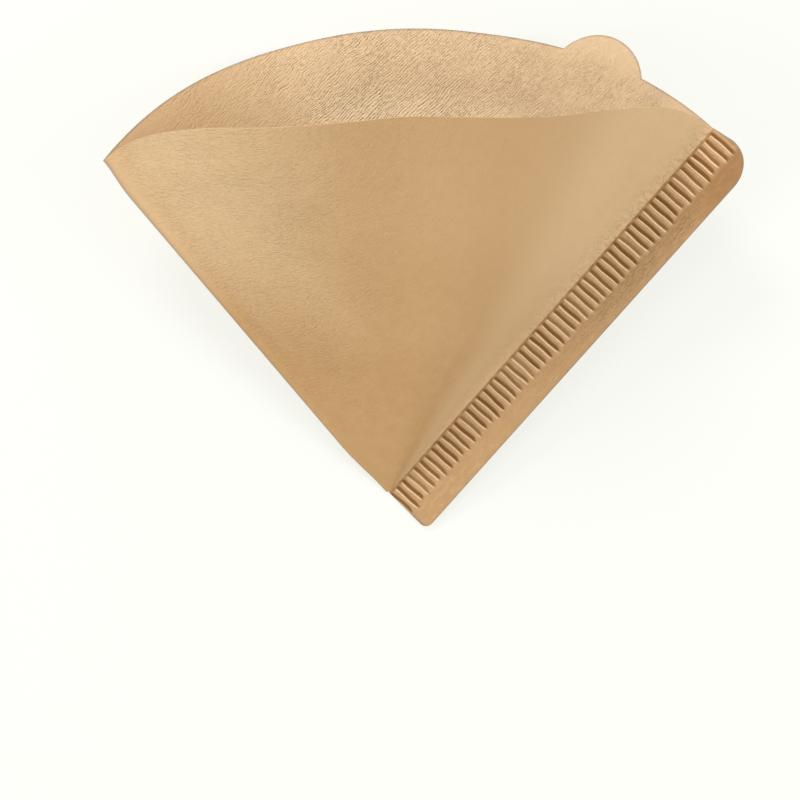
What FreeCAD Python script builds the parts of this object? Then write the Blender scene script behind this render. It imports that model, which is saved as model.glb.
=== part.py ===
import FreeCAD, Part
import math
import os
import Sketcher

# One sheet of unbleached filter paper, folded once, crimped along one edge and
# opened into a cone with a lens-shaped mouth.  It lies on its back, as it comes
# to rest: +X from the folded edge to the crimped seam, +Y from the point to the
# mouth, +Z up.  Lengths are in millimetres, angles in degrees.

Vec = FreeCAD.Vector
Turn = FreeCAD.Rotation

doc = FreeCAD.newDocument("CoffeeFilter")

# Driving dimensions
sizes = doc.addObject("Spreadsheet::Sheet", "Sizes")
rows = [
    # the folded blank
    ("sheet_thickness", 0.2),
    ("corner_angle", 90.0),
    ("strip_width", 13.0),
    ("strip_start", 0.4),
    ("strip_end", 121.95),
    ("strip_end_rise", 0.85),
    ("tip_drop", 0.75),
    ("tip_corner_radius", 2.0),
    ("seam_corner_radius", 7.4),
    # the rim is cut by a ball, which gives the arched edge of the fan
    ("rim_radius", 115.15),
    ("rim_centre_across", 8.16),
    ("rim_centre_up", 2.18),
    # how far it is opened
    ("opening_half_angle", 38.9),
    ("front_fullness", 3.4),
    ("front_runout", 1.95),
    ("front_lean", 0.05),
    ("back_flat_share", 0.28),
    ("back_fullness", 1.8),
    # pressed folds, and the closed point of the cone
    ("fold_bead_radius", 0.15),
    ("crease_overlap", 0.25),
    ("strip_bend", 16.5),
    ("point_start", 1.0),
    ("point_plug_height", 2.0),
    ("sheet_reach", 135.0),
    # pull tab on the back of the rim
    ("tab_radius", 13.15),
    ("tab_distance", 113.6),
    ("tab_direction", 73.0),
    # crimps that hold the seam
    ("crimp_count", 54),
    ("crimp_first", 2.0),
    ("crimp_last_margin", 1.7),
    ("crimp_gap", 0.7),
    ("crimp_length", 7.35),
    ("crimp_slope", 1.35),
    ("crimp_drop", 0.5),
    ("crimp_depth", 0.45),
    ("crimp_inner_run", 0.7),
    ("crimp_outer_run", 1.6),
]
for line, (name, value) in enumerate(rows, start=1):
    sizes.set("A%d" % line, name)
    sizes.set("B%d" % line, "%s" % value)
    sizes.setAlias("B%d" % line, name)
doc.recompute()

thick = float(sizes.sheet_thickness)
opening = math.radians(float(sizes.opening_half_angle))
corner = math.radians(float(sizes.corner_angle))
reach = float(sizes.sheet_reach)
start = float(sizes.point_start)


# Shape of the opened cone.  A straight line from the point of the cone to the
# rim stays straight when paper bends, so each sheet is a fan of such lines.
# share runs from -1 at the folded edge to +1 at the crimped seam.
def direction(share, rise, full, runout, lean, flat, side):
    around = share * opening
    beyond = max(abs(share) - flat, 0.0) / (1.0 - flat)
    fall = max(1.0 - beyond ** full, 0.0) ** runout
    lift = math.atan(math.tan(rise) * math.cos(around))
    lift = lift * fall * (1.0 + lean * share) * side
    return Vec(
        math.sin(around) * math.cos(lift),
        math.cos(around) * math.cos(lift),
        math.sin(lift),
    )


def developed_angle(rise, full, runout, lean, flat, side):
    steps = 600
    total = 0.0
    last = direction(-1.0, rise, full, runout, lean, flat, side)
    for step in range(1, steps + 1):
        here = direction(-1.0 + 2.0 * step / steps, rise, full, runout, lean, flat, side)
        total += 2.0 * math.asin(min(here.sub(last).Length / 2.0, 1.0))
        last = here
    return total


def rise_for_blank(full, runout, lean, flat, side):
    # the sheet must unroll to the corner angle of the flat blank
    low = 0.0
    high = math.radians(50.0)
    for _ in range(40):
        middle = 0.5 * (low + high)
        if developed_angle(middle, full, runout, lean, flat, side) < corner:
            low = middle
        else:
            high = middle
    return 0.5 * (low + high)


front_form = (
    float(sizes.front_fullness),
    float(sizes.front_runout),
    float(sizes.front_lean),
    0.0,
    1.0,
)
back_form = (
    float(sizes.back_fullness),
    1.0,
    0.0,
    float(sizes.back_flat_share),
    -1.0,
)
front_rise = rise_for_blank(*front_form)
back_rise = rise_for_blank(*back_form)


def normal(share, rise, form):
    # within the flat facet every point faces the same way
    step = 1.0e-4
    if abs(share) <= form[3] + step:
        share = 0.0
    low = max(share - step, -1.0)
    high = min(share + step, 1.0)
    across = direction(high, rise, *form).sub(direction(low, rise, *form))
    facing = direction(share, rise, *form).cross(across)
    return facing.normalize()


def spread(low, high, count):
    return [low + (high - low) * step / (count - 1.0) for step in range(count)]


def fan_curve(shares, rise, form, distance, offset):
    points = []
    for share in shares:
        ray = direction(share, rise, *form).multiply(distance)
        points.append(ray.add(normal(share, rise, form).multiply(offset)))
    curve = Part.BSplineCurve()
    curve.interpolate(Points=points, Parameters=[float(value) for value in shares])
    return curve


def stretch(curve, low, high):
    piece = curve.copy()
    piece.segment(low, high)
    return piece.toShape()


def fan_sheets(shares, pieces, rise, form):
    # sheet of even thickness, from near the point to past the rim, in stretches
    half = thick / 2.0
    curves = [
        fan_curve(shares, rise, form, start, half),
        fan_curve(shares, rise, form, reach, half),
        fan_curve(shares, rise, form, start, -half),
        fan_curve(shares, rise, form, reach, -half),
    ]
    ends = spread(shares[0], shares[-1], pieces + 1)
    return [
        fan_stretch([stretch(curve, low, high) for curve in curves])
        for low, high in zip(ends[:-1], ends[1:])
    ]


def fan_stretch(edges):
    outer_near, outer_far, inner_near, inner_far = edges
    faces = [
        Part.makeRuledSurface(outer_near, outer_far),
        Part.makeRuledSurface(inner_near, inner_far),
        Part.makeRuledSurface(outer_near, inner_near),
        Part.makeRuledSurface(outer_far, inner_far),
    ]
    for end in (0, -1):
        ring = [
            outer_near.Vertexes[end].Point,
            outer_far.Vertexes[end].Point,
            inner_far.Vertexes[end].Point,
            inner_near.Vertexes[end].Point,
        ]
        faces.append(Part.Face(Part.makePolygon(ring + ring[:1])))
    skin = Part.makeShell(faces)
    skin.sewShape()
    solid = Part.makeSolid(Part.Shell(skin.Faces))
    if solid.Volume < 0:
        solid.reverse()
    return solid


def flat_sheet(edge, rise, form):
    # the plane facet between two of the straight lines
    facing = normal(0.0, rise, form)
    lift = facing.multiply(thick / 2.0)
    corners = []
    for share, distance in ((-edge, start), (-edge, reach), (edge, reach), (edge, start)):
        ray = direction(share, rise, *form).multiply(distance)
        corners.append(ray.sub(lift))
    face = Part.Face(Part.makePolygon(corners + corners[:1]))
    return face.extrude(lift.multiply(2.0))


def feature(name, shape):
    made = doc.addObject("Part::Feature", name)
    made.Label = name
    made.Shape = shape
    return made


flat = float(sizes.back_flat_share)
front_pieces = fan_sheets(spread(-1.0, 1.0, 49), 4, front_rise, front_form)
back_pieces = fan_sheets(spread(-1.0, -flat, 25), 2, back_rise, back_form)
back_pieces.append(flat_sheet(flat, back_rise, back_form))
back_pieces.extend(fan_sheets(spread(flat, 1.0, 25), 2, back_rise, back_form))
front_stretches = [
    feature("front_stretch_%d" % (place + 1), piece) for place, piece in enumerate(front_pieces)
]
back_stretches = [
    feature("back_stretch_%d" % (place + 1), piece) for place, piece in enumerate(back_pieces)
]


def bind(made, **cells):
    for prop, cell in cells.items():
        made.setExpression(prop.replace("__", "."), cell)


def rod(name, radius, length, place):
    made = doc.addObject("Part::Cylinder", name)
    made.Label = name
    bind(made, Radius=radius, Height=length)
    made.Placement = place
    return made


def joined(name, pieces):
    made = doc.addObject("Part::MultiFuse", name)
    made.Label = name
    made.Shapes = pieces
    return made


def common(name, base, tool):
    made = doc.addObject("Part::Common", name)
    made.Label = name
    made.Base = base
    made.Tool = tool
    return made


# Rim: a ball set a little off the point gives the arch of the fan, and a disc
# across the back sheet gives the round pull tab.
rim_ball = doc.addObject("Part::Sphere", "rim_ball")
bind(
    rim_ball,
    Radius="Sizes.rim_radius",
    Placement__Base__x="Sizes.rim_centre_across",
    Placement__Base__y="Sizes.rim_centre_up",
)

tab_angle = math.radians(float(sizes.tab_direction))


def share_at(angle, rise, form):
    # where on the opened cone a direction of the flat blank has gone
    steps = 4000
    total = 0.0
    last = direction(-1.0, rise, *form)
    for step in range(1, steps + 1):
        share = -1.0 + 2.0 * step / steps
        here = direction(share, rise, *form)
        total += here.sub(last).Length
        if total >= angle:
            return share
        last = here
    return 1.0


tab_share = share_at(tab_angle, back_rise, back_form)
tab_axis = normal(tab_share, back_rise, back_form)
tab_centre = direction(tab_share, back_rise, *back_form).multiply(float(sizes.tab_distance))
tab_foot = tab_centre.sub(Vec(tab_axis).multiply(float(sizes.tab_radius)))
tab_disc = rod(
    "tab_disc",
    "Sizes.tab_radius",
    "2 * Sizes.tab_radius",
    FreeCAD.Placement(tab_foot, Turn(Vec(0, 0, 1), tab_axis)),
)

# Folded edge: a thin round bead where the sheet turns over.
fold_line = direction(-1.0, front_rise, *front_form)
crease_line = direction(1.0, front_rise, *front_form)
fold_bead = rod(
    "fold_bead",
    "Sizes.fold_bead_radius",
    "Sizes.sheet_reach",
    FreeCAD.Placement(Vec(fold_line).multiply(start / 2.0), Turn(Vec(0, 0, 1), fold_line)),
)

# Closed point of the cone, where the two layers meet.
plug_height = float(sizes.point_plug_height)


def plug_edge(shares, rise, form):
    points = []
    for share in shares:
        ray = direction(share, rise, *form)
        points.append(ray.multiply(plug_height / ray.y))
    curve = Part.BSplineCurve()
    curve.interpolate(points)
    return curve.toShape()


plug_ring = Part.Wire(
    [
        plug_edge(spread(-1.0, 1.0, 25), front_rise, front_form),
        plug_edge(spread(1.0, -1.0, 25), back_rise, back_form),
    ]
)
point_plug = feature("point_plug", Part.makeLoft([Part.Vertex(0, 0, 0), plug_ring], True, True))

# Seam strip: two layers pressed flat, with crimps across it.
strip = doc.addObject("PartDesign::Body", "seam_strip")
strip.Label = "seam_strip"


def origin_part(body, role):
    for part in body.Origin.OriginFeatures:
        if part.Role == role:
            return part
    return None


outline = strip.newObject("Sketcher::SketchObject", "strip_outline")
outline.AttachmentSupport = [(origin_part(strip, "XY_Plane"), "")]
outline.MapMode = "FlatFace"
width = float(sizes.strip_width)
length = float(sizes.strip_end) - float(sizes.strip_start)
inset = -float(sizes.crease_overlap)
low_round = float(sizes.tip_corner_radius)
high_round = float(sizes.seam_corner_radius)


def arc(centre, radius, first, last):
    circle = Part.Circle(centre, Vec(0, 0, 1), radius)
    return Part.ArcOfCircle(circle, math.radians(first), math.radians(last))


drop = float(sizes.tip_drop)
rise = float(sizes.strip_end_rise)
low_centre = Vec(width - low_round, low_round - drop, 0)
high_centre = Vec(width - high_round, length + rise - high_round, 0)
outline.addGeometry(Part.LineSegment(Vec(inset, 0, 0), Vec(low_centre.x, -drop, 0)))
outline.addGeometry(arc(low_centre, low_round, 266, 360))
outline.addGeometry(
    Part.LineSegment(Vec(width, low_centre.y, 0), Vec(width, high_centre.y, 0))
)
outline.addGeometry(arc(high_centre, high_round, 0, 98))
outline.addGeometry(
    Part.LineSegment(Vec(high_centre.x, length + rise, 0), Vec(inset, length, 0))
)
outline.addGeometry(Part.LineSegment(Vec(inset, length, 0), Vec(inset, 0, 0)))


def constrain(sketch, *terms):
    return sketch.addConstraint(Sketcher.Constraint(*terms))


constrain(outline, "PointOnObject", 0, 1, -1)
constrain(outline, "Tangent", 0, 2, 1, 1)
constrain(outline, "Tangent", 1, 2, 2, 1)
constrain(outline, "Tangent", 2, 2, 3, 1)
constrain(outline, "Tangent", 3, 2, 4, 1)
constrain(outline, "Coincident", 4, 2, 5, 1)
constrain(outline, "Coincident", 5, 2, 0, 1)
constrain(outline, "Vertical", 2)
constrain(outline, "Vertical", 5)
# the strip's ends run a little past square toward its outer edge
index = constrain(outline, "DistanceY", 0, 2, 0, 1, drop)
outline.setExpression("Constraints[%d]" % index, "Sizes.tip_drop")
index = constrain(outline, "DistanceY", 4, 2, 4, 1, rise)
outline.setExpression("Constraints[%d]" % index, "Sizes.strip_end_rise")
index = constrain(outline, "DistanceX", -1, 1, 2, 1, width)
outline.setExpression("Constraints[%d]" % index, "Sizes.strip_width")
index = constrain(outline, "DistanceX", 5, 2, -1, 1, -inset)
outline.setExpression("Constraints[%d]" % index, "Sizes.crease_overlap")
index = constrain(outline, "DistanceY", 5, 2, 5, 1, length)
outline.setExpression("Constraints[%d]" % index, "Sizes.strip_end - Sizes.strip_start")
index = constrain(outline, "Radius", 1, low_round)
outline.setExpression("Constraints[%d]" % index, "Sizes.tip_corner_radius")
index = constrain(outline, "Radius", 3, high_round)
outline.setExpression("Constraints[%d]" % index, "Sizes.seam_corner_radius")

pad = strip.newObject("PartDesign::Pad", "strip_layers")
pad.Profile = outline
bind(pad, Length="2 * Sizes.sheet_thickness")
pad.SideType = "Symmetric"

doc.recompute()


def crimp(kind, name, level):
    # a low roof lying across the strip at the first crimp: a long slope up to the
    # crest, a short drop behind it, and a sloping end each way
    made = strip.newObject("PartDesign::" + kind, name)
    made.AttachmentSupport = [(origin_part(strip, "XZ_Plane"), "")]
    made.MapMode = "FlatFace"
    bind(
        made,
        AttachmentOffset__Base__z="-Sizes.crimp_first",
        Xmin="Sizes.crimp_gap",
        Xmax="Sizes.crimp_gap + Sizes.crimp_length",
        X2min="Sizes.crimp_gap + Sizes.crimp_inner_run",
        X2max="Sizes.crimp_gap + Sizes.crimp_length - Sizes.crimp_outer_run",
        Ymin=level,
        Ymax=level + " + Sizes.crimp_depth",
        Zmin="-Sizes.crimp_drop",
        Zmax="Sizes.crimp_slope",
        Z2min="0",
        Z2max="0",
    )
    return made


row_length = "Sizes.strip_end - Sizes.strip_start - Sizes.crimp_first - Sizes.crimp_last_margin"


def along_strip(name, made):
    row = strip.newObject("PartDesign::LinearPattern", name)
    row.Originals = [made]
    row.Direction = (origin_part(strip, "Y_Axis"), [""])
    bind(row, Length=row_length, Occurrences="Sizes.crimp_count")
    strip.Tip = row


# The press pushes both layers up: a ridge on the front, and the same form as a
# groove on the back, one thickness of the strip lower.
ridge = crimp("AdditiveWedge", "crimp_ridge", "Sizes.sheet_thickness")
along_strip("crimp_ridges", ridge)
doc.recompute()
groove = crimp("SubtractiveWedge", "crimp_groove", "-Sizes.sheet_thickness")
along_strip("crimp_grooves", groove)
doc.recompute()

# The strip joins the cone along the crease line, bent a little to the front so
# that its low corner clears the floor.
strip.Placement = FreeCAD.Placement(
    Vec(crease_line).multiply(float(sizes.strip_start)),
    Turn(Vec(0, 0, 1), -float(sizes.opening_half_angle)).multiply(
        Turn(Vec(0, 1, 0), -float(sizes.strip_bend))
    ),
)

# Rim cut, then everything becomes one sheet of paper.
front_sheet = joined("front_sheet", front_stretches)
front_cut = common("front_panel", front_sheet, rim_ball)
back_sheet = joined("back_sheet", back_stretches)
back_limit = joined("back_outline", [rim_ball, tab_disc])
back_cut = common("back_panel", back_sheet, back_limit)
fold_cut = common("fold_edge", fold_bead, rim_ball)
filter_paper = joined("filter_paper", [front_cut, back_cut, fold_cut, point_plug, strip])
doc.recompute()

# Laid on the flat facet of its back, centred over the floor point.
tilt = Turn(Vec(1, 0, 0), math.degrees(back_rise))
filter_paper.Placement = FreeCAD.Placement(Vec(0, 0, 0), tilt)
box = filter_paper.Shape.optimalBoundingBox(False)
shift = Vec(-0.5 * (box.XMin + box.XMax), -0.5 * (box.YMin + box.YMax), thick / 2.0)
filter_paper.Placement = FreeCAD.Placement(shift, tilt)
doc.recompute()

parts = [filter_paper]
for made in doc.Objects:
    if "Invalid" in made.State or "Error" in made.State:
        raise RuntimeError("%s did not build: %s" % (made.Name, made.State))
for made in parts:
    if made.Shape.isNull() or not made.Shape.isValid() or len(made.Shape.Solids) != 1:
        raise RuntimeError("%s is not one sound solid" % made.Label)

os.makedirs("parts", exist_ok=True)
for made in parts:
    made.Shape.exportStep("parts/%s.step" % made.Label)
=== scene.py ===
import math
import bpy
import numpy as np
from mathutils import Matrix, Vector


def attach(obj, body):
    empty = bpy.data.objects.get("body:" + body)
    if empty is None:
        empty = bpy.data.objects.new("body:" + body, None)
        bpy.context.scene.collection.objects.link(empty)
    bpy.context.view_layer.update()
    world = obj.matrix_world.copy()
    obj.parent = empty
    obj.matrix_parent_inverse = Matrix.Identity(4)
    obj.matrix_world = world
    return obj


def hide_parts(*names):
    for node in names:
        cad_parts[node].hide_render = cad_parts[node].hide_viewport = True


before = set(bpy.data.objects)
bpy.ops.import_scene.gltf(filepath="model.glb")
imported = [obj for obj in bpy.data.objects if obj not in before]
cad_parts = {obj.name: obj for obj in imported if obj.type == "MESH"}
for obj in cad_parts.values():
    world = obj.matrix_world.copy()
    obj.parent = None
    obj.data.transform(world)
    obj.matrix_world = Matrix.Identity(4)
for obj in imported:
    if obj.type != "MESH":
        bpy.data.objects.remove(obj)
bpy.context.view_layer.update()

# Sizes, in mm
THICK = 0.2
# half the angle between the folded edge and the crease, once opened
OPENING = math.radians(38.9)
# For each layer: how high its middle rises, how full its curve is, how softly that runs out at
# the sides, how far it leans to the crease, how much of it stays flat, and which way it bulges
FRONT = dict(rise=math.radians(21.378), full=3.4, runout=1.95, lean=0.05, flat=0.0, side=1.0)
BACK = dict(rise=math.radians(21.174), full=1.8, runout=1.0, lean=0.0, flat=0.28, side=-1.0)
RIM_CENTRE, RIM_RADIUS = np.array([8.16, 2.18, 0.0]), 115.15
TAB_RADIUS, TAB_DISTANCE, TAB_ANGLE = 13.15, 113.6, math.radians(73.0)
# where the point of the cone lies
POINT = np.array([-6.942, -54.534, 0.1])
FOLD_LENGTH = 111.5
# the seam strip, which bends forward, with round corners and slanted ends
STRIP_WIDTH, STRIP_START, STRIP_END = 13.0, 0.4, 121.95
STRIP_BEND = math.radians(16.5)
TIP_ROUND, SEAM_ROUND = 2.0, 7.4
TIP_DROP, END_RISE = 0.75, 0.85
CRIMPS, FIRST, LAST, CRIMP_HEIGHT, CRIMP_REACH = 54, 2.0, 119.85, 0.55, 8.0
# points from the cone's point to its rim
ROWS = 64
rng = np.random.default_rng(7)


def smooth(a, b, v):
    t = np.clip((v - a) / (b - a), 0.0, 1.0)
    return t * t * (3.0 - 2.0 * t)


# The opened cone's form. share runs from -1 at the fold to 1 at the crease, angle from 0 to a
# right angle on the flat blank, and f is FRONT or BACK.
def direction(share, f):
    around = share * OPENING
    beyond = np.maximum(np.abs(share) - f["flat"], 0.0) / (1.0 - f["flat"])
    fall = np.maximum(1.0 - beyond ** f["full"], 0.0) ** f["runout"]
    lift = np.arctan(math.tan(f["rise"]) * np.cos(around))
    lift = lift * fall * (1.0 + f["lean"] * share) * f["side"]
    return np.stack([np.sin(around) * np.cos(lift), np.cos(around) * np.cos(lift), np.sin(lift)], -1)


def outward(share, f):
    """Square to the paper, away from the inside of the cone."""
    step = 1e-4
    low, high = np.maximum(share - step, -1.0), np.minimum(share + step, 1.0)
    n = np.cross(direction(share, f), direction(high, f) - direction(low, f))
    n /= np.linalg.norm(n, axis=-1, keepdims=True)
    return -n * f["side"]


def share_at(angle, f):
    """Where the opened layer has turned by an angle of the flat blank."""
    share = np.linspace(-1.0, 1.0, 6001)
    d = direction(share, f)
    turn = np.concatenate([[0.0], np.cumsum(np.linalg.norm(np.diff(d, axis=0), axis=1))])
    return np.interp(angle / (math.pi / 2) * turn[-1], turn, share)


def rim_reach(d):
    """How far it is from the point of the cone to the rim, along d."""
    along = d @ RIM_CENTRE
    return along + np.sqrt(along ** 2 - RIM_CENTRE @ RIM_CENTRE + RIM_RADIUS ** 2)


def tab_reach(angle):
    """How far the tab's circle reaches, and where it is there at all."""
    off = angle - TAB_ANGLE
    inside = TAB_RADIUS ** 2 - (TAB_DISTANCE * np.sin(off)) ** 2
    reach = TAB_DISTANCE * np.cos(off) + np.sqrt(np.maximum(inside, 0.0))
    return reach, (inside > 0) & (np.abs(off) < 0.3)


# The cone lies on the flat part of its back.
tilt_cos, tilt_sin = math.cos(BACK["rise"]), math.sin(BACK["rise"])
LAY = np.array([[1, 0, 0], [0, tilt_cos, -tilt_sin], [0, tilt_sin, tilt_cos]])


def lay_down(p):
    return p @ LAY.T + POINT


verts, faces, uvs = [], [], []
marks = {name: [] for name in ("crepe", "crimp", "seam", "warm", "edge", "pale", "pucker", "deep")}


def add_grid(p, uv, **given):
    """p is rows by columns by 3, in the cone's frame. Gives the grid of point numbers."""
    first = sum(len(v) for v in verts)
    q = lay_down(p).reshape(-1, 3)
    verts.append(q)
    uvs.append(np.broadcast_to(uv, p.shape[:2] + (2,)).reshape(-1, 2))
    for name, store in marks.items():
        store.append(np.broadcast_to(given.get(name, 0.0), p.shape[:2]).reshape(-1))
    return first + np.arange(len(q)).reshape(p.shape[:2])


def skin(ids, flip=False):
    a, b, c, d = ids[:-1, :-1], ids[1:, :-1], ids[1:, 1:], ids[:-1, 1:]
    quads = np.stack([a, b, c, d] if flip else [a, d, c, b], -1).reshape(-1, 4)
    faces.append(quads)


def band(one, two, flip=False):
    skin(np.stack([one, two]), flip)


# The folded edge isn't quite straight: it bows out by about a millimetre.
def fold_bow(reach, angle):
    along = reach / FOLD_LENGTH
    bow = 1.15 * smooth(0.0, 0.16, along) * (1.0 - smooth(0.9, 1.02, along)) - 0.25 * along
    return np.maximum(bow, 0.0) * np.exp(-((angle / math.radians(17.0)) ** 2))


FOLD_OUT = np.array([-math.cos(OPENING), -math.sin(OPENING), 0.0])


# Where the paper is rough, puckered, warm or pale, and where light and shade are painted into its
# colour: r is the distance from the point of the cone, a the angle from the fold and y the distance
# from the crease. First the outer face, then the inner one.
def front_look(r, a, y):
    rough = 0.14 + 0.75 * (1.0 - smooth(0.35, 1.0, a)) * smooth(10.0, 60.0, r) * smooth(0.0, 0.06, a)
    # small puckers beside the crimps, with painted shade in their hollows
    pucker = smooth(7.0, 0.3, y) * (0.3 + 0.7 * smooth(20.0, 100.0, r))
    # darker and warmer toward the point and along the middle: partly the paper's warmer tone, partly
    # painted shade where the front faces away from the light; lighter beside the crease, which is
    # painted light; darker again right at the fold
    warm = (0.75 + 0.15 * smooth(90.0, 65.0, r)) * smooth(0.2, 0.7, a)
    warm = warm * (1.0 - 0.8 * smooth(1.0, 1.4, a) * smooth(40.0, 100.0, r))
    warm = warm + 0.12 * smooth(85.0, 108.0, r) * smooth(0.5, 0.7, a) * (1.0 - smooth(0.95, 1.15, a))
    warm = warm - 0.06 * smooth(88.0, 104.0, r) * smooth(0.2, 0.35, a) * smooth(1.2, 1.05, a)
    warm = np.maximum(warm, 1.0 - smooth(40.0, 95.0, r))
    near_crease = 0.68 - 0.16 * smooth(85.0, 65.0, r) * smooth(38.0, 58.0, r)
    warm = warm * (1.0 - near_crease * smooth(1.1, 1.4, a)) + 0.3 * smooth(0.12, 0.02, a)
    return dict(crepe=rough, warm=warm, pucker=pucker), dict(crepe=0.5, warm=0.4)


def back_look(r, a):
    rough = (0.65 + 0.65 * smooth(0.35, 0.7, a)) * (1.0 - smooth(1.42, 1.49, a))
    rough = rough * (0.35 + 0.65 * smooth(0.1, 0.32, a)) * (1.0 - 0.6 * smooth(116.0, 124.0, r))
    # paler away from the fold, darker and warmer beside it: partly the paper's tone, partly painted
    # shade beside the fold
    pale = 0.05 + 0.75 * smooth(0.3, 0.7, a)
    # paler still low in the mouth: painted light where the front layer shades the back
    pale = pale + 0.35 * smooth(112.0, 100.0, r) * smooth(0.5, 0.8, a) * smooth(1.35, 1.2, a)
    warm = 0.16 * (1.0 - smooth(0.3, 0.7, a))
    # light that comes through the front sheet reaches the back low in the mouth
    deep = smooth(107.0, 95.0, r) * smooth(0.5, 0.75, a) * smooth(1.3, 1.1, a)
    return dict(crepe=0.45, warm=0.5), dict(crepe=rough, warm=warm, pale=pale, deep=deep)


def layer(f, angle):
    mirror = f["side"]
    share = share_at(angle, f)
    share[0], share[-1] = -1.0, 1.0
    d, n = direction(share, f), outward(share, f)
    reach = rim_reach(d)
    if mirror < 0:
        tab, there = tab_reach(angle)
        reach = np.where(there, np.maximum(reach, tab), reach)
    # rows from 0.9 mm off the point to 0.6 mm off the rim, then two more close to the rim
    t = np.linspace(0.0, 1.0, ROWS - 2)
    r = 0.9 + (reach[None, :] - 1.5) * t[:, None]
    r = np.concatenate([r, reach[None, :] - 0.35, reach[None, :]])
    a = np.broadcast_to(angle, r.shape)
    p = d[None] * r[..., None]
    p = p + FOLD_OUT * fold_bow(r, a)[..., None]
    x, y = r * np.sin(a), r * np.cos(a)
    # slow waves of a sheet that has been handled
    wave = 0.22 * np.sin(x * 0.115 + 1.3 + mirror) * np.sin(y * 0.093 + 0.4)
    wave += 0.12 * np.sin(x * 0.21 - y * 0.17 + 2.0 * mirror)
    wave *= smooth(8.0, 40.0, r) * smooth(0.0, 0.25, a) * smooth(0.0, 0.25, math.pi / 2 - a)
    if mirror < 0:
        wave *= smooth(0.0, 0.2, np.abs(np.broadcast_to(share, r.shape)) - f["flat"])
    p = p + n[None] * wave[..., None]
    uv = np.stack([mirror * x, y], -1)
    # painted shade: a dark line along the paper's cut edges
    cut = np.zeros(r.shape)
    cut[:, :2] = np.array([0.9, 0.25])
    if mirror > 0:
        # on the front the crepe lines swing level near the mouth's folded side
        swing = smooth(60.0, 112.0, r) * (1.0 - smooth(0.35, 0.95, a))
        uv[..., 1] = y + 0.55 * x * swing
        outer_look, inner_look = front_look(r, a, y)
        inner_cut = cut
    else:
        outer_look, inner_look = back_look(r, a)
        cut[-2:] = np.array([[0.4], [1.0]])
        # on the back's inside, painted shade also beside the crease
        inner_cut = np.maximum(cut, 0.14 * smooth(1.34, 1.44, a))
    half = THICK / 2
    outer = add_grid(p + n[None] * half, uv, edge=cut, **outer_look)
    inner = add_grid(p - n[None] * half, uv, edge=inner_cut, **inner_look)
    skin(outer, flip=mirror > 0)
    skin(inner, flip=mirror < 0)
    band(outer[-1], inner[-1], flip=mirror > 0)
    band(outer[0], inner[0], flip=mirror < 0)
    return dict(outer=outer, inner=inner, p=p, n=n, uv=uv)


def tab_joint(sign):
    """The angle where the tab's circle leaves the rim."""
    angles = TAB_ANGLE + sign * np.linspace(0.05, 0.14, 2000)
    reach = rim_reach(direction(share_at(angles, BACK), BACK))
    return angles[np.argmax(tab_reach(angles)[0] < reach)]


low, high = tab_joint(-1), tab_joint(1)
# more columns across the tab, closest together where its circle leaves the rim
back_columns = np.concatenate(
    [
        [0.0, 0.007],
        np.linspace(0.0, low, 64)[1:-1],
        0.5 * (low + high) - 0.5 * (high - low) * np.cos(np.linspace(0.0, math.pi, 29)),
        np.linspace(high, math.pi / 2, 15)[1:],
    ]
)
front_columns = np.concatenate([[0.0, 0.007], np.linspace(0.0, math.pi / 2, 97)[1:]])
front = layer(FRONT, front_columns)
back = layer(BACK, back_columns)

# the sheet turns over at the folded edge in a tight round
fold_line = front["p"][:, 0]
n_front, n_back = front["n"][0], back["n"][0]
turn = []
for k in (0.25, 0.5, 0.75):
    n = (1.0 - k) * n_front + k * n_back + FOLD_OUT * 0.8 * math.sin(math.pi * k)
    n /= np.linalg.norm(n)
    turn.append(fold_line + n * THICK / 2)
# painted shade along the folded edge
turn = add_grid(np.stack(turn, 1), front["uv"][:, :1], crepe=0.3, warm=0.3, edge=0.9)
turn = np.concatenate([front["outer"][:, :1], turn, back["outer"][:, :1]], 1)
skin(turn, flip=False)
band(front["inner"][:, 0], back["inner"][:, 0])

# The seam strip
crease = np.array([math.sin(OPENING), math.cos(OPENING), 0.0])
level = np.array([math.cos(OPENING), -math.sin(OPENING), 0.0])
across = math.cos(STRIP_BEND) * level + math.sin(STRIP_BEND) * np.array([0.0, 0.0, 1.0])
strip_front = np.cross(across, crease)

length = STRIP_END - STRIP_START
pitch = (LAST - FIRST) / (CRIMPS - 1)
# rows along the strip, 16 to a crimp and closer at both ends
steps = np.arange(0.0, length, pitch / 16.0)
ends = np.array([0.004, 0.016, 0.035, 0.07, 0.12, 0.17])
y = np.unique(np.round(np.concatenate([steps, ends, length - ends, [length]]), 4))
# columns across it, closer at the outer ends of the crimps and at the edge
u = np.concatenate(
    [
        np.linspace(-0.25, 0.9, 5),
        np.linspace(1.5, 6.0, 7),
        np.linspace(6.4, 8.6, 10),
        [9.4, 10.4, 11.4],
        np.linspace(11.9, STRIP_WIDTH, 7),
    ]
)
limit = np.full(len(y), STRIP_WIDTH)
low_side, high_side = y < TIP_ROUND, length - y < SEAM_ROUND
limit[low_side] -= TIP_ROUND - np.sqrt(TIP_ROUND ** 2 - (TIP_ROUND - y[low_side]) ** 2)
limit[high_side] -= SEAM_ROUND - np.sqrt(SEAM_ROUND ** 2 - (SEAM_ROUND - (length - y[high_side])) ** 2)
# only the outer columns draw in at the round corners
pull = smooth(4.0, STRIP_WIDTH, u)[None, :]
X = u[None, :] - (STRIP_WIDTH - limit)[:, None] * pull
drop = -TIP_DROP * np.clip((X + 0.25) / (STRIP_WIDTH - TIP_ROUND), 0.0, 1.0)
rise = END_RISE * np.clip((X + 0.25) / (STRIP_WIDTH - SEAM_ROUND), 0.0, 1.0)
Y = y[:, None] + drop * smooth(8.0, 0.0, y)[:, None] + rise * smooth(length - 10.0, length, y)[:, None]

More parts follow.
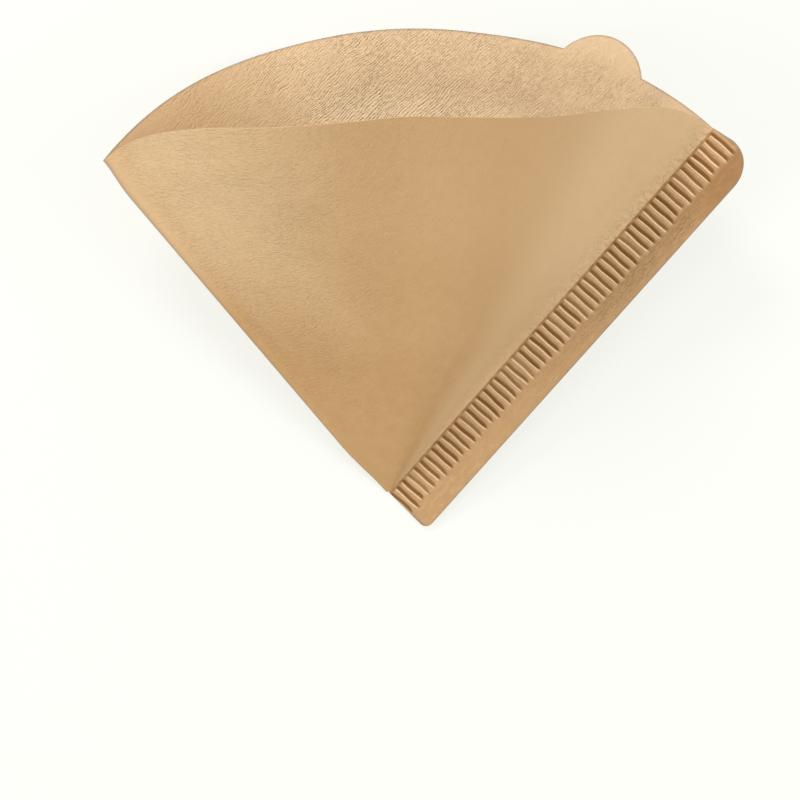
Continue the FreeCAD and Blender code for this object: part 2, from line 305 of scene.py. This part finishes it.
# each crimp is its own: a little stronger or weaker, shifted and slanted
strength = 1.0 + 0.14 * rng.standard_normal(CRIMPS)
strength[2::9] *= 0.7
shift = 0.06 * rng.standard_normal(CRIMPS)
slant = 0.016 * rng.standard_normal(CRIMPS)
reach_out = CRIMP_REACH + 0.25 * rng.standard_normal(CRIMPS)
second_line = np.where(rng.random(CRIMPS) < 0.45, 0.09, 0.0)

relief = np.zeros_like(X)
shade = np.zeros_like(X)
gleam = np.zeros_like(X)
# the one before the first is cut through by the strip's low end
for k in range(-1, CRIMPS):
    wave = 0.07 * np.sin(X * 0.9 + 2.1 * k)
    s = Y - (FIRST + k * pitch + shift[k] + slant[k] * (X - 4.0) + wave)
    # a long slope rises to the crest, which drops steeply on its far side
    fade = smooth(0.0, 0.7, X) * (1.0 - smooth(reach_out[k] - 1.1, reach_out[k] + 0.15, X))
    slope = np.clip((s + 1.35) / 1.35, 0.0, 1.0) ** 1.2 * (s < 0.0)
    wall = (1.0 - smooth(0.0, 0.55, s)) * (s >= 0.0)
    second = second_line[k] * np.exp(-(((s + 0.55) / 0.13) ** 2))
    relief = np.maximum(relief, strength[k] * fade * CRIMP_HEIGHT * (slope + wall + second))
    # the band of painted shade behind the crest narrows at its outer end, less so toward the rim
    blunt = 0.3 + 0.5 * smooth(40.0, 90.0, Y)
    dark_end = 1.3 - (1.0 - blunt) * 1.1 * smooth(6.0, reach_out[k] + 0.3, X)
    after = smooth(0.04, 0.27, s) * (1.0 - smooth(0.5, 1.0, s / dark_end))
    # some crimps have a second, small crest, with its own painted shade and painted highlight
    if second_line[k] > 0.0:
        after = np.maximum(after, 0.4 * np.exp(-(((s + 0.36) / 0.11) ** 2)))
        gleam = np.maximum(gleam, 0.6 * fade * np.exp(-(((s + 0.6) / 0.12) ** 2)))
    # painted shade behind each crest, and a painted highlight along it
    shade = np.maximum(shade, strength[k] * fade * after)
    gleam = np.maximum(gleam, fade * np.exp(-(((s + 0.13) / 0.22) ** 2)))
# a fine, uneven line of painted shade along the crease
crease_shade = np.exp(-(((X - 0.1) / 0.3) ** 2)) * (0.45 + 0.3 * np.sin(Y * 1.9) * np.sin(Y * 0.43))


def strip_points(z):
    along = crease * (Y + STRIP_START)[..., None]
    return along + across * X[..., None] + strip_front * z[..., None]


strip_uv = np.stack([Y + STRIP_START, -X], -1)
edge = smooth(0.0, 1.0, Y) * smooth(0.0, 1.0, length - Y)
# painted shade: the strip is a little darker at its point, and much darker at its rim corner
mark = 0.2 + 0.22 * smooth(35.0, 5.0, Y) + 0.22 * smooth(60.0, 98.0, Y) + 0.6 * smooth(97.0, 112.0, Y)
among_crimps = 0.26 + 0.19 * smooth(20.0, 118.0, Y)
mark = mark + (among_crimps - mark) * smooth(8.3, 6.6, X)
mark = mark * (1.0 - 0.6 * smooth(length - 2.2, length - 0.4, Y) * smooth(8.0, 4.0, X))
up = strip_points(THICK + relief * edge)
down = strip_points(-THICK + relief * edge * 0.8)
# the crimps' painted shade and painted highlights, carried into the colour
crimp_shading = np.clip(shade, 0.0, 1.0) + crease_shade
crimp_shading = crimp_shading - (0.52 + 0.23 * smooth(15.0, 60.0, Y)) * gleam
inset = limit[:, None] - X
# painted shade along the strip's outer edge and ends
border = smooth(0.5, 0.0, np.minimum(inset, np.minimum(Y, length - Y) + 0.3))
# the back layer's edge presses through as a faint line of painted shade beside the front layer's
border = np.maximum(border, 0.3 * np.exp(-(((inset - 0.75) / 0.16) ** 2)) * smooth(2.0, 20.0, Y))
rubbed = smooth(7.6, 8.6, X) * smooth(12.4, 10.5, X) * smooth(30.0, 85.0, Y) * smooth(112.0, 98.0, Y)
rubbed = 0.3 + 1.2 * rubbed
top = add_grid(up, strip_uv, crepe=rubbed, crimp=crimp_shading, seam=mark, warm=0.8, edge=border)
under_uv = strip_uv * np.array([1.0, -1.0])
# the underside gets weaker painted shade from the crimps and the strip
under = add_grid(down, under_uv, crepe=0.25, crimp=0.45 * shade, seam=0.3, warm=0.8)
skin(top, flip=False)
skin(under, flip=True)
band(top[:, -1], under[:, -1], flip=False)
band(top[:, 0], under[:, 0], flip=True)
band(top[0], under[0], flip=False)
band(top[-1], under[-1], flip=True)

points = np.concatenate(verts) * 0.001
quads = np.concatenate(faces)
mesh = bpy.data.meshes.new("filter_sheet")
mesh.from_pydata(points.tolist(), [], quads.tolist())
mesh.update()
mesh.polygons.foreach_set("use_smooth", np.ones(len(quads), bool))
uv_layer = mesh.uv_layers.new(name="blank")
loop_vertex = np.zeros(len(mesh.loops), np.int32)
mesh.loops.foreach_get("vertex_index", loop_vertex)
uv_layer.data.foreach_set("uv", np.concatenate(uvs)[loop_vertex].astype(np.float32).ravel())
for name, store in marks.items():
    values = mesh.attributes.new(name, "FLOAT", "POINT")
    values.data.foreach_set("value", np.concatenate(store).astype(np.float32))
mesh.set_sharp_from_angle(angle=math.radians(38.0))
sheet = bpy.data.objects.new("filter_sheet", mesh)
bpy.context.scene.collection.objects.link(sheet)

# Material
paper = bpy.data.materials.new("kraft_paper")
paper.use_nodes = True
tree = paper.node_tree
tree.nodes.clear()


def node(kind, **values):
    made = tree.nodes.new(kind)
    for key, value in values.items():
        setattr(made, key, value)
    return made


def link(a, b):
    tree.links.new(a, b)


def value_of(name):
    return node("ShaderNodeAttribute", attribute_name=name).outputs["Fac"]


def maths(operation, a, b=None, clamp=False):
    made = node("ShaderNodeMath", operation=operation, use_clamp=clamp)
    for index, source in enumerate((a, b)):
        if source is None:
            continue
        if isinstance(source, (int, float)):
            made.inputs[index].default_value = source
        else:
            link(source, made.inputs[index])
    return made.outputs[0]


def noise(vector, scale, detail=2.0, rough=0.5, distortion=0.0):
    made = node("ShaderNodeTexNoise", noise_dimensions="3D")
    link(vector, made.inputs["Vector"])
    made.inputs["Scale"].default_value = scale
    made.inputs["Detail"].default_value = detail
    made.inputs["Roughness"].default_value = rough
    made.inputs["Distortion"].default_value = distortion
    return made.outputs["Fac"]


def stretch(vector, scale):
    made = node("ShaderNodeMapping")
    link(vector, made.inputs["Vector"])
    made.inputs["Scale"].default_value = scale
    return made.outputs["Vector"]


def between(source, low, high, to_low=0.0, to_high=1.0):
    made = node("ShaderNodeMapRange", clamp=True)
    link(source, made.inputs["Value"])
    for name, value in (("From Min", low), ("From Max", high), ("To Min", to_low), ("To Max", to_high)):
        made.inputs[name].default_value = value
    return made.outputs["Result"]


def mix(factor, one, two, blend="MIX"):
    made = node("ShaderNodeMix", data_type="RGBA", blend_type=blend)
    for index, source in ((0, factor), (6, one), (7, two)):
        if isinstance(source, (int, float)):
            made.inputs[index].default_value = source
        elif isinstance(source, tuple):
            made.inputs[index].default_value = source + (1.0,)
        else:
            link(source, made.inputs[index])
    return made.outputs[2]


def scale_add(source, by, plus):
    made = node("ShaderNodeMath", operation="MULTIPLY_ADD")
    link(source, made.inputs[0])
    made.inputs[1].default_value = by
    made.inputs[2].default_value = plus
    return made.outputs[0]


def times(a, b):
    return maths("MULTIPLY", a, b)


def tint(amount, share, target):
    """Mix the target into the colour so far, by amount times share."""
    return mix(maths("MULTIPLY", amount, share, clamp=True), colour, target)


blank = node("ShaderNodeUVMap", uv_map="blank").outputs["UV"]
crepe_mark, crimp_shading_mark, seam_shade_mark = value_of("crepe"), value_of("crimp"), value_of("seam")
pale_mark, pucker_mark = value_of("pale"), value_of("pucker")

# short wavy ridges of creped paper
LINE_SPACING = 0.62
parts_of = node("ShaderNodeSeparateXYZ")
link(blank, parts_of.inputs[0])
wander = noise(stretch(blank, (0.42, 0.5, 1.0)), 1.0, 1.5, 0.5)
wide_wander = noise(blank, 0.11, 1.0)
phase = maths("ADD", times(parts_of.outputs[1], 2.0 * math.pi / LINE_SPACING), times(wander, 7.0))
phase = maths("ADD", phase, times(wide_wander, 34.0))
bands = scale_add(maths("SINE", phase), 0.5, 0.5)
broken = between(noise(stretch(blank, (0.75, 1.2, 1.0)), 1.0, 2.0), 0.38, 0.58, 0.05, 1.0)
short_ridges = noise(stretch(blank, (0.7, 1.65, 1.0)), 1.0, 2.0, 0.55, 0.7)
ridges = times(times(bands, broken), scale_add(pale_mark, 0.6, 0.22))
ridges = maths("ADD", ridges, times(short_ridges, scale_add(pale_mark, -1.85, 2.4)))
patches = between(noise(blank, 0.085, 2.0), 0.35, 0.65, 0.75, 1.1)
ridge_height = times(ridges, times(crepe_mark, patches))
fibres = noise(stretch(blank, (3.5, 5.5, 1.0)), 1.0, 3.0, 0.6, 0.4)
height = maths("ADD", ridge_height, times(fibres, 0.22))
puckers = noise(stretch(blank, (0.85, 0.42, 1.0)), 1.0, 3.0, 0.6, 0.8)
height = maths("ADD", height, times(puckers, times(pucker_mark, 4.0)))

bump = node("ShaderNodeBump")
bump.inputs["Strength"].default_value = 1.0
bump.inputs["Distance"].default_value = 0.00026
link(height, bump.inputs["Height"])

# unbleached pulp: warm tan with slow drifts, faint clouds and fibre specks
drift = between(noise(blank, 0.022, 1.5), 0.32, 0.68)
cloud = between(noise(blank, 0.3, 3.0, 0.6), 0.3, 0.7)
speck = between(noise(stretch(blank, (2.2, 3.4, 1.0)), 1.0, 3.5, 0.65), 0.34, 0.66)
colour = mix(drift, (0.68, 0.478, 0.262), (0.70, 0.50, 0.30))
# the darker, warmer tone: partly the paper's own, partly painted shade
colour = mix(value_of("warm"), colour, (0.458, 0.268, 0.111))
# the paler back: partly its own tone, partly painted light low in the mouth
colour = tint(pale_mark, 0.7, (0.82, 0.635, 0.435))
colour = tint(cloud, 0.25, (0.60, 0.385, 0.18))
colour = tint(speck, 0.14, (0.78, 0.60, 0.39))
not_pale = maths("SUBTRACT", 1.0, pale_mark, clamp=True)
# painted shade in the crepe's valleys
valley = times(between(short_ridges, 0.54, 0.36, 0.0, 0.55), not_pale)
valley = maths("ADD", valley, times(between(ridges, 0.7, 0.2), pale_mark))
colour = tint(times(valley, crepe_mark), 0.36, (0.44, 0.265, 0.12))
colour = tint(value_of("deep"), 0.62, (0.95, 0.77, 0.51))
# painted shade in the hollows of the puckers
colour = tint(times(between(puckers, 0.52, 0.38), pucker_mark), 0.32, (0.44, 0.275, 0.13))
# painted shade on the strip
colour = tint(seam_shade_mark, 0.85, (0.30, 0.152, 0.061))
# rubbed streaks along the pressed strip
streak = between(noise(stretch(blank, (0.35, 0.9, 1.0)), 1.0, 3.0, 0.65, 0.8), 0.45, 0.7)
streak_share = times(between(seam_shade_mark, 0.05, 0.25), between(seam_shade_mark, 0.5, 1.0, 0.42, 0.16))
colour = tint(streak, streak_share, (0.60, 0.40, 0.23))
# painted shade in the bands behind the crests, and painted highlights on the crests themselves
colour = tint(crimp_shading_mark, 0.95, (0.19, 0.082, 0.022))
colour = tint(crimp_shading_mark, -1.2, (0.90, 0.70, 0.47))
# painted shade along the cut edges, the fold and the strip's border
colour = tint(value_of("edge"), 0.68, (0.27, 0.20, 0.145))

surface = node("ShaderNodeBsdfPrincipled")
link(colour, surface.inputs["Base Color"])
link(bump.outputs["Normal"], surface.inputs["Normal"])
surface.inputs["Roughness"].default_value = 0.82
surface.inputs["Specular IOR Level"].default_value = 0.12
through = node("ShaderNodeBsdfTranslucent")
link(colour, through.inputs["Color"])
both = node("ShaderNodeMixShader")
both.inputs[0].default_value = 0.1
link(surface.outputs[0], both.inputs[1])
link(through.outputs[0], both.inputs[2])
out = node("ShaderNodeOutputMaterial")
link(both.outputs[0], out.inputs["Surface"])
mesh.materials.append(paper)

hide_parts("filter_paper")
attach(sheet, "root")


# Stage
def seen_as_background():
    """1 for rays from the camera, and for those that metal and glass would send on."""
    path = node("ShaderNodeLightPath").outputs
    mirrored = maths("MAXIMUM", path["Is Glossy Ray"], path["Is Transmission Ray"])
    return maths("MAXIMUM", path["Is Camera Ray"], mirrored)


floor_mesh = bpy.data.meshes.new("floor")
FLOOR_HALF = 6.0
corners = [(x * FLOOR_HALF, y * FLOOR_HALF, 0) for x, y in ((-1, -1), (1, -1), (1, 1), (-1, 1))]
floor_mesh.from_pydata(corners, [], [(0, 1, 2, 3)])
floor = bpy.data.objects.new("floor", floor_mesh)
# just under the paper
floor.location.z = -0.0002
bpy.context.scene.collection.objects.link(floor)
tone = bpy.data.materials.new("floor_tone")
tone.use_nodes = True
tree = tone.node_tree
tree.nodes.clear()
pale = node("ShaderNodeBsdfDiffuse")
pale.inputs["Color"].default_value = (0.80, 0.80, 0.79, 1.0)
glow = node("ShaderNodeEmission")
glow.inputs["Color"].default_value = (0.955, 0.965, 0.91, 1.0)
glow.inputs["Strength"].default_value = 1.0
# enough of the floor's own shading stays to show the shadow
blend = node("ShaderNodeMixShader")
link(maths("MULTIPLY", seen_as_background(), 0.8), blend.inputs[0])
link(pale.outputs[0], blend.inputs[1])
link(glow.outputs[0], blend.inputs[2])
out = node("ShaderNodeOutputMaterial")
link(blend.outputs[0], out.inputs["Surface"])
floor_mesh.materials.append(tone)

world = bpy.data.worlds.new("studio")
bpy.context.scene.world = world
world.use_nodes = True
tree = world.node_tree
tree.nodes.clear()
blend = node("ShaderNodeMixShader")
link(seen_as_background(), blend.inputs[0])
# what lights the paper, and what is seen behind it
for socket, tint_of, strength in ((1, (1.0, 0.99, 0.975, 1.0), 0.76), (2, (1.0, 1.0, 0.975, 1.0), 1.0)):
    sky = node("ShaderNodeBackground")
    sky.inputs["Color"].default_value = tint_of
    sky.inputs["Strength"].default_value = strength
    link(sky.outputs[0], blend.inputs[socket])
out = node("ShaderNodeOutputWorld")
link(blend.outputs[0], out.inputs["Surface"])


def area_light(name, place, size, power):
    data = bpy.data.lights.new(name, "AREA")
    data.shape = "DISK"
    data.size = size
    data.energy = power
    data.color = (1.0, 0.985, 0.96)
    lamp = bpy.data.objects.new(name, data)
    lamp.location = place
    lamp.rotation_mode = "QUATERNION"
    lamp.rotation_quaternion = (LIT_SPOT - Vector(place)).to_track_quat("-Z", "Y")
    bpy.context.scene.collection.objects.link(lamp)


LIT_SPOT = Vector((0.0, 0.0, 0.03))
area_light("key", (-0.85, -0.4, 0.9), 0.45, 5.9)
area_light("top", (-0.4, 0.8, 0.85), 0.4, 8.5)
area_light("side", (0.9, -0.1, 0.8), 0.6, 3.8)

# Camera, fitted to the photo: its turn, and where it sees the point of the cone, in mm
FOCAL_PIXELS, PHOTO_PIXELS, SENSOR_MM = 2687.97, 800.0, 36.0
turn_vec = Vector((-2.77494198, -0.01251506, -0.11052309))
to_camera = np.array(Matrix.Rotation(turn_vec.length, 3, turn_vec.normalized()))
shift_mm = np.array([-2.79369935, 23.66778729, 675.85911669])
place = LAY @ (-to_camera.T @ shift_mm) + POINT
right, down, ahead = (LAY @ to_camera.T).T
camera_data = bpy.data.cameras.new("camera")
camera = bpy.data.objects.new("camera", camera_data)
bpy.context.scene.collection.objects.link(camera)
camera.matrix_world = Matrix(
    [
        [right[0], -down[0], -ahead[0], place[0] * 0.001],
        [right[1], -down[1], -ahead[1], place[1] * 0.001],
        [right[2], -down[2], -ahead[2], place[2] * 0.001],
        [0, 0, 0, 1],
    ]
)
camera_data.sensor_width = SENSOR_MM
camera_data.lens = FOCAL_PIXELS / PHOTO_PIXELS * SENSOR_MM
camera_data.clip_start = 0.01
camera_data.clip_end = 50.0
bpy.context.scene.camera = camera
bpy.context.scene.view_settings.view_transform = "Standard"
